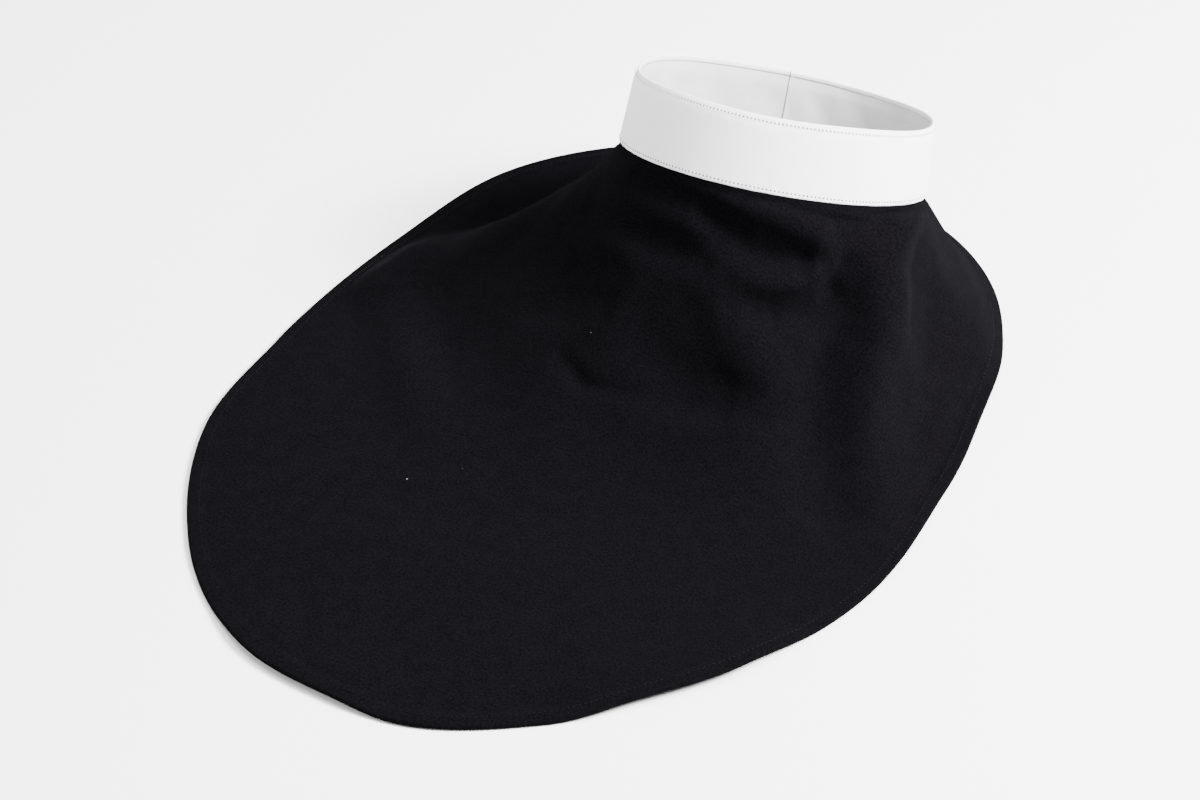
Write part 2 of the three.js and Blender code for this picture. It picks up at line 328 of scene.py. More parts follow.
up_square = calculate(needle_row, "POWER", hole_up, 2.0)
hole_away = calculate(needle_row, "SQRT", calculate(needle_row, "ADD", step_square, up_square))
hole_share = calculate(needle_row, "DIVIDE", hole_away, needle_in.outputs["Hole Radius"])
hole_mask = add_node(
    needle_row, "ShaderNodeMapRange", {0: hole_share, 1: hole_core, 2: hole_rim, 3: 1.0, 4: 0.0},
    interpolation_type="SMOOTHSTEP",
)
needle_row.links.new(hole_mask.outputs[0], needle_out.inputs["Hole"])

band_length = (last_turn - first_turn) * neck_radius
cotton_pitch = 0.00038
cotton_slub = 0.9
cotton_relief = 0.00012
patch_scale = 85.0
slub_swing = 0.4
thin_yarn_tone = 0.97
# The lap's end gets a thin dark line painted along its last fraction of a millimetre: painted shadow for
# the shade at the step of the lap.
painted_shadow_width = 0.0006
painted_shadow_colour = (0.1, 0.095, 0.09, 1)
# Near-black painted shade for the inside of each needle hole.
hole_painted_shade = (0.012, 0.012, 0.014, 1)
hole_depth = 3.0


def cotton(name, colour, shade, needle_rows, roughness):
    """White band cotton: plain weave, cloudy patches, needle holes with painted shade in them and a painted
    shadow line at the lap's end.
    """
    material, tree, shader = new_material(name)
    cloth = add_node(tree, "ShaderNodeUVMap", uv_map="cloth").outputs[0]
    threads = add_node(tree, "ShaderNodeGroup", {}, node_tree=weave)
    tree.links.new(cloth, threads.inputs["Cloth"])
    threads.inputs["Thread Pitch"].default_value = cotton_pitch
    threads.inputs["Slub"].default_value = cotton_slub
    patches = add_node(tree, "ShaderNodeTexNoise", {"Vector": cloth, "Scale": patch_scale, "Detail": 3.0})
    cloudy = add_node(tree, "ShaderNodeMix", {0: patches.outputs[0], 6: colour, 7: shade}, data_type="RGBA")
    yarn_tone = add_node(
        tree, "ShaderNodeMapRange",
        {0: threads.outputs["Yarn"], 1: -slub_swing, 2: slub_swing, 3: thin_yarn_tone, 4: 1.0},
    )
    woven = add_node(
        tree, "ShaderNodeMix", {0: 1.0, 6: cloudy.outputs[2], 7: yarn_tone.outputs[0]},
        data_type="RGBA", blend_type="MULTIPLY",
    )
    base = woven.outputs[2]
    height = threads.outputs["Height"]
    for row_height, stitch in needle_rows:
        row = add_node(tree, "ShaderNodeGroup", {}, node_tree=needle_row)
        tree.links.new(cloth, row.inputs["Cloth"])
        row.inputs["Row Height"].default_value = row_height
        row.inputs["Stitch Length"].default_value = stitch
        # Each needle hole is sunk in the bump and painted dark: painted shade inside the hole.
        pricked_with_painted_shade = add_node(
            tree, "ShaderNodeMix", {0: row.outputs["Hole"], 6: base, 7: hole_painted_shade}, data_type="RGBA"
        )
        base = pricked_with_painted_shade.outputs[2]
        sunk = calculate(tree, "MULTIPLY", row.outputs["Hole"], hole_depth)
        height = calculate(tree, "SUBTRACT", height, sunk)
    place = add_node(tree, "ShaderNodeSeparateXYZ", {0: cloth})
    # Painted shadow: the last stretch of cloth at the lap's end is coloured dark.
    in_painted_shadow = calculate(tree, "GREATER_THAN", place.outputs["X"], band_length - painted_shadow_width)
    shadow_painted = add_node(tree, "ShaderNodeMix", {0: in_painted_shadow, 6: base, 7: painted_shadow_colour}, data_type="RGBA")
    bump = add_node(tree, "ShaderNodeBump", {"Height": height, "Strength": 0.35, "Distance": cotton_relief})
    tree.links.new(shadow_painted.outputs[2], shader.inputs["Base Color"])
    tree.links.new(bump.outputs[0], shader.inputs["Normal"])
    shader.inputs["Roughness"].default_value = roughness
    shader.inputs["Sheen Weight"].default_value = 0.15
    shader.inputs["Sheen Roughness"].default_value = 0.6
    return material


seam_row = 0.0016
top_row = band_height - 0.0021
stitch_length = 0.0017
facing_white = (0.85, 0.845, 0.88, 1)
facing_shade = (0.81, 0.805, 0.84, 1)
facing_needle_rows = [(seam_row, stitch_length), (top_row, stitch_length)]
facing.data.materials.append(cotton("facing_cotton", facing_white, facing_shade, facing_needle_rows, 0.8))
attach(facing, "root")
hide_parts("collar_facing")

# The band's stitches: rows of white cotton thread along the seam, under the top edge and up the lap's end.
# Each stitch lies on the facing between two needle holes.
stitch_row, stitch_in, stitch_out = make_group(
    "stitch_row",
    [
        ("Needle Holes", "NodeSocketGeometry", None),
        ("Stitch Share", "NodeSocketFloat", 0.62),
        ("Thread Radius", "NodeSocketFloat", 0.00015),
        ("Thread", "NodeSocketMaterial", None),
    ],
    [("Stitches", "NodeSocketGeometry", None)],
    "GeometryNodeTree",
)
hole_pair = add_node(stitch_row, "GeometryNodeInputMeshEdgeVertices")
stitch_way = add_node(
    stitch_row, "ShaderNodeVectorMath",
    {0: hole_pair.outputs["Position 2"], 1: hole_pair.outputs["Position 1"]}, operation="SUBTRACT",
).outputs[0]
holes_kept = add_node(
    stitch_row, "GeometryNodeStoreNamedAttribute",
    {"Geometry": stitch_in.outputs["Needle Holes"], "Name": "stitch_way"},
    data_type="FLOAT_VECTOR", domain="EDGE",
)
stitch_row.links.new(stitch_way, holes_kept.inputs["Value"])
stitch_middles = add_node(
    stitch_row, "GeometryNodeMeshToPoints", {"Mesh": holes_kept.outputs[0]}, mode="EDGES"
)
way_read = add_node(
    stitch_row, "GeometryNodeInputNamedAttribute", {"Name": "stitch_way"}, data_type="FLOAT_VECTOR"
).outputs["Attribute"]
stitch_turn = add_node(
    stitch_row, "FunctionNodeAlignRotationToVector", {"Vector": way_read}, axis="X"
).outputs[0]
way_length = add_node(
    stitch_row, "ShaderNodeVectorMath", {0: way_read}, operation="LENGTH"
).outputs["Value"]
half_share = calculate(stitch_row, "MULTIPLY", stitch_in.outputs["Stitch Share"], 0.5)
stitch_scale = add_node(
    stitch_row, "ShaderNodeCombineXYZ",
    {
        0: calculate(stitch_row, "MULTIPLY", way_length, half_share),
        1: stitch_in.outputs["Thread Radius"],
        2: stitch_in.outputs["Thread Radius"],
    },
).outputs[0]
one_stitch = add_node(stitch_row, "GeometryNodeMeshUVSphere", {"Segments": 8, "Rings": 5, "Radius": 1.0})
laid_stitches = add_node(
    stitch_row, "GeometryNodeInstanceOnPoints",
    {
        "Points": stitch_middles.outputs[0],
        "Instance": one_stitch.outputs["Mesh"],
        "Rotation": stitch_turn,
        "Scale": stitch_scale,
    },
)
loose_stitches = add_node(stitch_row, "GeometryNodeRealizeInstances", {0: laid_stitches.outputs[0]})
round_stitches = add_node(stitch_row, "GeometryNodeSetShadeSmooth", {0: loose_stitches.outputs[0]})
threaded = add_node(
    stitch_row, "GeometryNodeSetMaterial",
    {"Geometry": round_stitches.outputs[0], "Material": stitch_in.outputs["Thread"]},
)
stitch_row.links.new(threaded.outputs[0], stitch_out.inputs["Stitches"])


def sew(name, rows, share, thread_radius, thread):
    """Stitches along rows of needle holes, made by the stitch tree and turned to a plain mesh."""
    holes, pairs = [], []
    for row in rows:
        pairs += [(len(holes) + place, len(holes) + place + 1) for place in range(len(row) - 1)]
        holes += row.tolist()
    mesh = bpy.data.meshes.new(name + "_holes")
    mesh.from_pydata(holes, pairs, [])
    piece = bpy.data.objects.new(name, mesh)
    bpy.context.scene.collection.objects.link(piece)
    modifier = piece.modifiers.new("stitches", "NODES")
    modifier.node_group = stitch_row
    values = {"Stitch Share": share, "Thread Radius": thread_radius, "Thread": thread}
    for socket in stitch_row.interface.items_tree:
        if socket.name in values:
            modifier[socket.identifier] = values[socket.name]
    shown = piece.evaluated_get(bpy.context.evaluated_depsgraph_get())
    sewn = bpy.data.meshes.new_from_object(shown)
    sewn.name = name
    piece.modifiers.clear()
    piece.data = sewn
    return piece


ply_scale = 5200.0
ply_relief = 0.00006
thread_roughness = 0.6


def thread_material(name, colour, shade):
    """Sewing thread: twisted plies, their light and shade painted into the colour in turn, over a bump of
    the same plies.
    """
    material, tree, shader = new_material(name)
    place = add_node(tree, "ShaderNodeTexCoord").outputs["Object"]
    plies = add_node(tree, "ShaderNodeTexNoise", {"Vector": place, "Scale": ply_scale, "Detail": 2.0})
    # Painted light and shade: the colour swings between lit and shaded tones of the plies.
    tone = add_node(tree, "ShaderNodeMix", {0: plies.outputs[0], 6: colour, 7: shade}, data_type="RGBA")
    bump = add_node(
        tree, "ShaderNodeBump", {"Height": plies.outputs[0], "Strength": 0.5, "Distance": ply_relief}
    )
    tree.links.new(tone.outputs[2], shader.inputs["Base Color"])
    tree.links.new(bump.outputs[0], shader.inputs["Normal"])
    shader.inputs["Roughness"].default_value = thread_roughness
    return material


stitch_share = 0.62
thread_radius = 0.00015
lap_end_margin = 0.0024
hole_turns = first_turn + np.arange(1, int(band_length / stitch_length)) * stitch_length / neck_radius
end_holes = np.arange(seam_row + stitch_length, top_row, stitch_length)
band_rows = [
    band_grid(hole_turns, 0 * hole_turns, seam_row + 0 * hole_turns),
    band_grid(hole_turns, 0 * hole_turns, top_row + 0 * hole_turns),
    band_grid(first_turn + lap_end_margin / neck_radius + 0 * end_holes, 0 * end_holes, end_holes),
]
thread_white = (0.86, 0.86, 0.88, 1)
white_thread_painted_ply_shade = (0.7, 0.7, 0.72, 1)
white_thread = thread_material("white_thread", thread_white, white_thread_painted_ply_shade)
band_stitches = sew("band_stitches", band_rows, stitch_share, thread_radius, white_thread)
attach(band_stitches, "root")

# The neckband's lining: softer, slightly greyer cotton, slipped under the facing's turned edge; its colour
# is darkened further as painted shade for the inside of the ring.
# It is caught in the seam below, lies flush with the turned edge above and rumples a little.
tuck_share = 0.6
lining_first_rise = 0.0014
lining_rows = 24
tuck_rows = 5
lining_top = roll_start - turned_edge * tuck_share
lining_near = facing_wall + layer_gap / 2
low_near, low_far, lining_low = rounded_edge(lining_near, band_wall)
tuck_start = lining_top - turned_edge / 2
lining_steps = np.concatenate([
    np.linspace(lining_first_rise, tuck_start, lining_rows),
    np.linspace(tuck_start, lining_top, tuck_rows)[1:],
])
flush = turned_face - layer_gap / 6
tucked = flush - turned_wall
tuck = (band_wall - flush) * smooth(lining_top - rim_press_reach, tuck_start, lining_steps)
tuck = tuck + (flush - tucked) * smooth(tuck_start, lining_top, lining_steps)
lining_outer = np.concatenate([low_near, lining_near + 0 * lining_steps])
lining_inner = np.concatenate([low_far, band_wall - tuck])
lining_rise = np.concatenate([lining_low, lining_steps])
rumple_depth = 0.0004
rumple_rate = 240
rumple_wander = 2
rumple_wander_rate = 37
rumple_rise_rate = 170
rumple_slant = 55


def lining_face(insets, rumpled):
    """A face of the lining; the inner one is rumpled by soft waves."""
    waves = np.sin(band_along * rumple_rate + rumple_wander * np.sin(band_along * rumple_wander_rate))
    waves = waves * np.sin(lining_rise[None] * rumple_rise_rate + band_along * rumple_slant)
    rises = lining_rise[None] + edge_shift(band_turns, lining_rise[None])
    depth = rumpled * rumple_depth * np.sin(math.pi * np.clip(lining_rise / lining_top, 0, 1))
    return band_points(band_turns, insets[None] - depth[None] * waves, rises)


lining = wall_mesh(
    "collar_lining_cloth",
    lining_face(lining_outer, 0),
    lining_face(lining_inner, 1),
    band_along,
    lining_rise[None],
)
# The lining's colours are partly its own grey and partly painted shade for the inside of the ring.
lining_grey_with_painted_shade = (0.66, 0.645, 0.65, 1)
lining_patches_with_painted_shade = (0.52, 0.51, 0.515, 1)
lining_needle_rows = [(seam_row, stitch_length)]
lining.data.materials.append(cotton("lining_cotton", lining_grey_with_painted_shade, lining_patches_with_painted_shade, lining_needle_rows, 0.9))
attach(lining, "root")
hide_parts("collar_lining")

# The back fastener: a patch of hook and loop tape between the lapped ends, hidden from outside.
# It is the frame's own solid with a new material, and its short pile is a fine field of loops.
loop_scale = 1400.0
loop_relief = 0.0003
tape_white = (0.72, 0.71, 0.69, 1)
tape_shade = (0.5, 0.49, 0.47, 1)
tape, tape_tree, tape_shader = new_material("fastener_tape")
tape_place = add_node(tape_tree, "ShaderNodeTexCoord").outputs["Object"]
tape_loops = add_node(tape_tree, "ShaderNodeTexVoronoi", {"Vector": tape_place, "Scale": loop_scale})
tape_tone = add_node(
    tape_tree, "ShaderNodeMix", {0: tape_loops.outputs[0], 6: tape_white, 7: tape_shade}, data_type="RGBA"
)
tape_bump = add_node(
    tape_tree, "ShaderNodeBump", {"Height": tape_loops.outputs[0], "Strength": 0.6, "Distance": loop_relief}
)
tape_tree.links.new(tape_tone.outputs[2], tape_shader.inputs["Base Color"])
tape_tree.links.new(tape_bump.outputs[0], tape_shader.inputs["Normal"])
tape_shader.inputs["Roughness"].default_value = 0.95
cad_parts["back_fastener"].data.materials.clear()
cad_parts["back_fastener"].data.materials.append(tape)

# The bib: one oval of fine black twill with its edge turned under and stitched, sewn to the band.
# It lies flat in front and rises to the leaning band, with the ridges and dents of soft cloth.
bib_width = 0.293
bib_length = 0.403
widest_from_front = 0.193
back_squareness = 2.5
front_squareness = 2.0
cloth_wall = 0.0015
hem_wall = 0.0024
hem_width = 0.0075
hem_halvings = 40
neck_stand = 0.003
opening_turn = math.radians(0.6)
spoke_count = 420
slope_rows = 92
row_crowding = 1.7
before_hem = 0.004
hem_rows = np.array(
    [0.0105, 0.0092, 0.0082, 0.0074, 0.0067, 0.0058, 0.0045, 0.0032, 0.0021, 0.0013, 0.0007, 0.0003, 0]
)

# How the cloth comes down from the neck, by the compass: 0 is the front, 90 the right, 180 the back.
# Columns: compass; reach, the share of the way to the hem at which it lies flat; hollow, 1 for a straight
# slope and more for one that sags.
slopes = [
    (0, 0.56, 3.1),
    (35, 0.85, 3.0),
    (62, 0.98, 2.2),
    (90, 0.99, 1.15),
    (135, 0.97, 1.3),
    (180, 0.97, 1.35),
    (215, 0.8, 1.7),
    (245, 0.62, 2.1),
    (272, 0.85, 2.4),
    (292, 0.95, 2.4),
    (325, 0.66, 2.9),
]

# How far the hem lies outside the smooth oval, where the soft edge was pushed or pulled.
# Columns: compass; distance in metres.
hem_drift = [
    (0, 0.001),
    (10, -0.003),
    (17, -0.0045),
    (25, -0.001),
    (38, 0.003),
    (55, -0.001),
    (72, -0.003),
    (95, 0),
    (120, 0.001),
    (180, 0),
    (240, 0.0015),
    (261, 0.003),
    (286, -0.0025),
    (309, -0.0005),
    (321, 0.0065),
    (335, 0.0045),
    (346, 0.0035),
    (355, 0),
]

# Folds of the cloth; the rows of one fold are places along it, in order. Columns: fold; compass; out, the
# share of the way from neck to hem; width and rise, shares of the neck's height above the table.
folds = [
    ("left_ridge", 277, 0.2, 0.35, 0.06),
    ("left_ridge", 290, 0.5, 0.5, 0.13),
    ("left_ridge", 294, 0.76, 0.5, 0.11),
    ("left_ridge", 295, 0.98, 0.4, 0.06),
    ("right_crest", 74, 0.08, 0.38, 0.05),
    ("right_crest", 63, 0.2, 0.42, 0.1),
    ("right_crest", 58, 0.31, 0.42, 0.11),
    ("right_crest", 49, 0.41, 0.42, 0.09),
    ("right_crest", 43, 0.6, 0.5, 0.05),
    ("crest_line", 92, 0.01, 0.1, 0.03),
    ("crest_line", 75, 0.06, 0.18, 0.055),
    ("crest_line", 66, 0.12, 0.21, 0.065),
    ("crest_line", 62, 0.2, 0.22, 0.075),
    ("crest_line", 57, 0.26, 0.24, 0.08),
    ("crest_line", 50, 0.31, 0.28, 0.085),
    ("crest_line", 46, 0.4, 0.34, 0.085),
    ("crest_line", 45, 0.55, 0.42, 0.07),
    ("crest_line", 44, 0.8, 0.46, 0.02),
    ("pocket", 48, 0.06, 0.14, -0.015),
    ("pocket", 50, 0.1, 0.17, -0.05),
    ("pocket", 49, 0.17, 0.2, -0.06),
    ("pocket", 46, 0.23, 0.24, -0.06),
    ("pocket", 41, 0.3, 0.26, -0.07),
    ("pocket", 38, 0.41, 0.3, -0.07),
    ("pocket", 37, 0.62, 0.32, -0.04),
    ("flank_dip", 101, 0.1, 0.2, -0.01),
    ("flank_dip", 101, 0.3, 0.35, -0.03),
    ("flank_dip", 90, 0.5, 0.4, -0.02),
    ("oval_dent", 18, 0.12, 0.15, -0.025),
    ("oval_dent", 28, 0.14, 0.18, -0.07),
    ("oval_dent", 37, 0.15, 0.19, -0.09),
    ("oval_dent", 45, 0.135, 0.16, -0.06),
    ("oval_brow", 18, 0.083, 0.1, 0.018),
    ("oval_brow", 29, 0.093, 0.12, 0.042),
    ("oval_brow", 38, 0.094, 0.12, 0.042),
    ("oval_brow", 46, 0.085, 0.1, 0.025),
    ("throat_valley", 2, 0.02, 0.14, -0.03),
    ("throat_valley", 10, 0.035, 0.17, -0.055),
    ("throat_valley", 19, 0.05, 0.19, -0.075),
    ("throat_valley", 28, 0.065, 0.2, -0.085),
    ("throat_valley", 36, 0.072, 0.18, -0.075),
    ("throat_valley", 41, 0.075, 0.14, -0.035),
    ("throat_brow", 14, 0.004, 0.1, 0.015),
    ("throat_brow", 24, 0.01, 0.12, 0.03),
    ("throat_brow", 34, 0.02, 0.14, 0.045),
    ("throat_brow", 43, 0.038, 0.15, 0.05),
    ("throat_brow", 47, 0.065, 0.14, 0.03),
    ("seam_wrinkle", 34, 0.003, 0.05, -0.014),
    ("seam_wrinkle", 46, 0.01, 0.06, -0.024),
    ("seam_wrinkle", 57, 0.018, 0.06, -0.024),
    ("seam_wrinkle", 70, 0.026, 0.06, -0.014),
    ("left_seam_dip", 328, 0.016, 0.13, -0.02),
    ("left_seam_dip", 347, 0.014, 0.15, -0.034),
    ("left_seam_dip", 2, 0.016, 0.14, -0.034),
    ("left_seam_dip", 14, 0.03, 0.12, -0.02),
    ("left_throat_dip", 331, 0.065, 0.16, -0.02),
    ("left_throat_dip", 343, 0.06, 0.18, -0.038),
    ("left_throat_dip", 355, 0.055, 0.18, -0.044),
    ("left_throat_dip", 4, 0.06, 0.18, -0.04),
    ("left_throat_dip", 10, 0.07, 0.16, -0.024),
    ("slant_ridge", 2, 0.06, 0.18, 0.01),
    ("slant_ridge", 9, 0.085, 0.2, 0.02),
    ("slant_ridge", 13, 0.115, 0.22, 0.03),
    ("slant_ridge", 17, 0.145, 0.24, 0.042),
    ("slant_ridge", 21, 0.18, 0.25, 0.05),
    ("slant_ridge", 26, 0.22, 0.22, 0.044),
    ("slant_ridge", 30, 0.26, 0.18, 0.018),
    ("slant_valley", 354, 0.15, 0.28, -0.018),
    ("slant_valley", 1, 0.175, 0.3, -0.04),
    ("slant_valley", 9, 0.21, 0.28, -0.055),
    ("slant_valley", 16, 0.235, 0.24, -0.052),
    ("slant_valley", 21, 0.255, 0.18, -0.026),
    ("left_fill", 298, 0.2, 0.5, 0.05),
    ("left_fill", 308, 0.36, 0.7, 0.08),
    ("left_fill", 312, 0.55, 0.7, 0.02),
    ("left_line", 303, 0.09, 0.08, 0.005),
    ("left_line", 308, 0.105, 0.1, 0.008),
    ("left_line", 315, 0.13, 0.13, 0.008),
    ("left_line", 320, 0.16, 0.16, 0.005),
    ("left_hollow", 326, 0.16, 0.24, -0.02),
    ("left_hollow", 337, 0.12, 0.24, -0.02),
    ("left_hollow_low", 325, 0.23, 0.18, -0.02),
    ("left_hollow_low", 339, 0.15, 0.18, -0.022),
    ("dimple", 338, 0.235, 0.07, -0.014),
    ("dimple", 343, 0.235, 0.09, -0.03),
    ("dimple", 347, 0.24, 0.09, -0.036),
    ("dimple", 352, 0.228, 0.08, -0.026),
    ("dimple", 357, 0.222, 0.07, -0.01),
    ("left_streak", 298, 0.84, 0.24, 0.035),
    ("left_streak", 307, 0.66, 0.28, 0.06),
    ("left_streak", 315, 0.57, 0.3, 0.06),
    ("left_streak", 324, 0.52, 0.3, 0.05),
    ("left_streak", 334, 0.5, 0.26, 0.02),
    ("low_line", 355, 0.22, 0.13, -0.015),
    ("low_line", 4, 0.23, 0.14, -0.02),
    ("low_line", 13, 0.25, 0.14, -0.02),
    ("low_line", 30, 0.33, 0.12, -0.01),
]

# Places where the hem stands a little off the table, in the columns of the folds.
hem_lifts = [
    ("right_lift", 17, 0.97, 0.6, 0.05),
    ("right_lift", 25, 1, 0.6, 0.05),
    ("left_lift", 347, 0.97, 0.5, 0.03),
    ("left_lift", 354, 1, 0.5, 0.03),
]

neck_rise = neck_middle[2]


def hem_distance(direction):
    """Distance from the middle of the neck to the hem, for rows of directions on the table."""
    near = np.zeros(len(direction))
    far = np.full(len(direction), bib_length)
    widest_y = widest_from_front - bib_length / 2
    for _ in range(hem_halvings):
        middle = (near + far) / 2
        x = neck_middle[0] + direction[:, 0] * middle
        y = neck_middle[1] + direction[:, 1] * middle - widest_y
        reach = np.where(y < 0, widest_from_front, bib_length - widest_from_front)
        power = np.where(y < 0, front_squareness, back_squareness)
        inside = np.abs(2 * x / bib_width) ** power + np.abs(y / reach) ** power < 1
        near = np.where(inside, middle, near)
        far = np.where(inside, far, middle)
    return near


def between_rows(rows, compass):
    """The columns of a compass table, eased from one row to the next, for an array of directions."""
    columns = np.zeros((len(rows[0]) - 1, len(compass)))
    for (nearer, *near_values), (further, *far_values) in zip(rows, rows[1:] + rows[:1]):
        span = (further - nearer) % 360
        past = (compass - nearer) % 360
        share = smooth(0, 1, past / span)
        for column, near_value, far_value in zip(columns, near_values, far_values):
            column[past <= span] = (near_value + (far_value - near_value) * share)[past <= span]
    return columns


def neck_edge(turns, drop):
    """The edge of the cloth under the band, drop below its lower edge."""
    return band_points(turns, band_wall / 2 + 0 * turns, -drop + 0 * turns)


def cloth_points(edge, out):
    """The unfolded cloth, for n points of the neck edge and an n by m grid of shares of the way out."""
    direction = edge[:, :2] - neck_middle[:2]
    direction = direction / np.linalg.norm(direction, axis=1)[:, None]
    compass = np.degrees(np.arctan2(direction[:, 0], -direction[:, 1])) % 360
    reach, hollow = between_rows(slopes, compass)
    (drift,) = between_rows(hem_drift, compass)
    hem = neck_middle[:2] + direction * (hem_distance(direction) + drift)[:, None]
    plan = edge[:, None, :2] + (hem - edge[:, :2])[:, None] * out[..., None]
    fall = np.maximum(0, 1 - out / reach[:, None]) ** hollow[:, None]
    base = hem_wall / 2
    height = base + (edge[:, None, 2] - base) * fall
    return np.concatenate([plan, height[..., None]], axis=-1)


def place_at(compass, out):
    """A point of the unfolded cloth by compass direction and share of the way out."""
    angle = math.radians(compass)
    aim_x, aim_y = math.sin(angle), -math.cos(angle)
    own_x = aim_x * math.cos(band_swing) + aim_y * math.sin(band_swing)
    own_y = aim_y * math.cos(band_swing) - aim_x * math.sin(band_swing)
    turn = (math.atan2(own_x, own_y / math.cos(band_lean)) - join_turn) % full_turn
    return cloth_points(neck_edge(np.array([turn]), neck_stand), np.array([[out]]))[0, 0]


def fold_rise(points, rows):
    """How far the folds of a table push the cloth out, at each point of the unfolded surface."""
    rises = {}
    for (fold, compass, out, width, rise), (next_fold, *further) in zip(rows, rows[1:]):
        if fold != next_fold:
            continue
        start = place_at(compass, out)
        line = place_at(*further[:2]) - start
        along = np.clip(((points - start) @ line) / (line @ line), 0, 1)
        away = np.linalg.norm(points - start - along[..., None] * line, axis=-1)
        half_width = (width + (further[2] - width) * along) * neck_rise
        share = np.minimum(1, away / half_width)
        height = (rise + (further[3] - rise) * along) * neck_rise * (1 - share * share) ** 2
        known = rises.get(fold, np.zeros(height.shape))
        rises[fold] = np.where(np.abs(height) > np.abs(known), height, known)
    return sum(rises.values())


bib_turns = np.linspace(opening_turn, full_turn - opening_turn, spoke_count + 1)
bib_foot = neck_edge(bib_turns, neck_stand)
bib_edge = cloth_points(bib_foot, np.ones((spoke_count + 1, 1)))[:, 0]
spoke_length = np.linalg.norm(bib_edge[:, :2] - bib_foot[:, :2], axis=1)
slope_out = np.linspace(0, 1, slope_rows) ** row_crowding
slope_end = 1 - hem_rows[0] / spoke_length - before_hem
hem_out = 1 - hem_rows[None] / spoke_length[:, None]
bib_out = np.concatenate([slope_out[None] * slope_end[:, None], hem_out], axis=1)
stand_drops = np.array([0.0001, 0.0009, 0.0018, 0.0025])
stand = np.stack([neck_edge(bib_turns, drop) for drop in stand_drops], axis=1)
unfolded = np.concatenate([stand, cloth_points(bib_foot, bib_out)], axis=1)


def surface_normals(points):
    """Unit normals of a grid of points."""
    across = np.gradient(points, axis=0)
    down = np.gradient(points, axis=1)
    normal = np.cross(across, down)
    return normal / np.linalg.norm(normal, axis=-1)[..., None]


stand_rows = len(stand_drops)
seam_ease = 0.005
hem_ease = 0.02
hem_step = 0.0012
thinnest_edge = 0.04
wave_height = 0.0012
wave_rate_across = 71
wave_rate_along = 58
wave_bend_across = 33
wave_bend_along = 47
from_seam = np.linalg.norm(unfolded - unfolded[:, stand_rows - 1][:, None], axis=-1)
from_seam[:, :stand_rows] = 0
from_edge = np.linalg.norm(unfolded - unfolded[:, -1][:, None], axis=-1)
settled = smooth(0, seam_ease, from_seam) * smooth(0, hem_ease, from_edge)
plan_x, plan_y = unfolded[..., 0], unfolded[..., 1]
waves_across = np.sin(wave_rate_across * plan_x + 2.1 * np.sin(wave_bend_across * plan_y))
waves_along = np.sin(wave_rate_along * plan_y + 1.7 * np.sin(wave_bend_along * plan_x + 1))
waves = waves_across * waves_along
rise = (fold_rise(unfolded, folds) + wave_height / 2 * (1 + waves)) * settled
rise = rise + fold_rise(unfolded, hem_lifts) * smooth(0, seam_ease, from_seam)
folded = unfolded + surface_normals(unfolded) * rise[..., None]
from_hem = np.linalg.norm(folded[:, -1][:, None] - folded, axis=-1)
turned_under = 1 - smooth(hem_width - hem_step, hem_width + hem_step, from_hem)
wall = cloth_wall + (hem_wall - cloth_wall) * turned_under
edge_round = np.clip(from_hem / (hem_wall / 2), thinnest_edge, 1)
wall = wall * np.sqrt(1 - (1 - edge_round) ** 2)
bib_normals = surface_normals(folded)
bib_upper = folded + bib_normals * (wall / 2)[..., None]
bib_lower = folded - bib_normals * (wall / 2)[..., None]
bib_lower[..., 2] = np.maximum(bib_lower[..., 2], 0)
bib_upper[..., 2] = np.maximum(bib_upper[..., 2], wall)

arc = np.cumsum(np.linalg.norm(np.diff(folded, axis=1, prepend=folded[:, :1]), axis=-1), axis=1)
bib_direction = (bib_foot - neck_middle)[:, :2]
bib_direction = bib_direction / np.linalg.norm(bib_direction, axis=1)[:, None]
bib_flat = bib_direction[:, None] * (neck_radius + arc)[..., None]
bib = wall_mesh("bib_twill", bib_upper, bib_lower, bib_flat[..., 0], bib_flat[..., 1])

twill_pitch = 0.0005
twill_slub = 0.8
twill_relief = 0.0001
nap_scale = 900.0
nap_cloud_scale = 130.0
nap_cloud_share = 0.25
nap_dark = (0.0012, 0.0011, 0.0014, 1)
nap_light = (0.0031, 0.0028, 0.0035, 1)
lint_scale = 48.0
lint_rarity = 14.0
lint_radius = 0.028
lint_colour = (0.09, 0.09, 0.09, 1)
twill, twill_tree, twill_shader = new_material("black_twill")
twill_cloth = add_node(twill_tree, "ShaderNodeUVMap", uv_map="cloth").outputs[0]
twill_threads = add_node(twill_tree, "ShaderNodeGroup", {}, node_tree=weave)
twill_tree.links.new(twill_cloth, twill_threads.inputs["Cloth"])
twill_threads.inputs["Thread Pitch"].default_value = twill_pitch
twill_threads.inputs["Twill"].default_value = 1.0
twill_threads.inputs["Slub"].default_value = twill_slub
nap = add_node(twill_tree, "ShaderNodeTexNoise", {"Vector": twill_cloth, "Scale": nap_scale, "Detail": 3.0})
nap_clouds = add_node(
    twill_tree, "ShaderNodeTexNoise", {"Vector": twill_cloth, "Scale": nap_cloud_scale, "Detail": 4.0}
)
faint_clouds = calculate(twill_tree, "MULTIPLY", nap_clouds.outputs[0], nap_cloud_share)
nap_sum = calculate(twill_tree, "ADD", nap.outputs[0], faint_clouds)
nap_share = add_node(twill_tree, "ShaderNodeMapRange", {0: nap_sum, 1: 0.42, 2: 0.83})
nap_tone = add_node(
    twill_tree, "ShaderNodeMix", {0: nap_share.outputs[0], 6: nap_dark, 7: nap_light}, data_type="RGBA"
)
lint_cells = add_node(twill_tree, "ShaderNodeTexVoronoi", {"Vector": twill_cloth, "Scale": lint_scale})
lint_lots = add_node(twill_tree, "ShaderNodeSeparateColor", {0: lint_cells.outputs["Color"]})
lint_share = calculate(twill_tree, "POWER", lint_lots.outputs[0], lint_rarity)
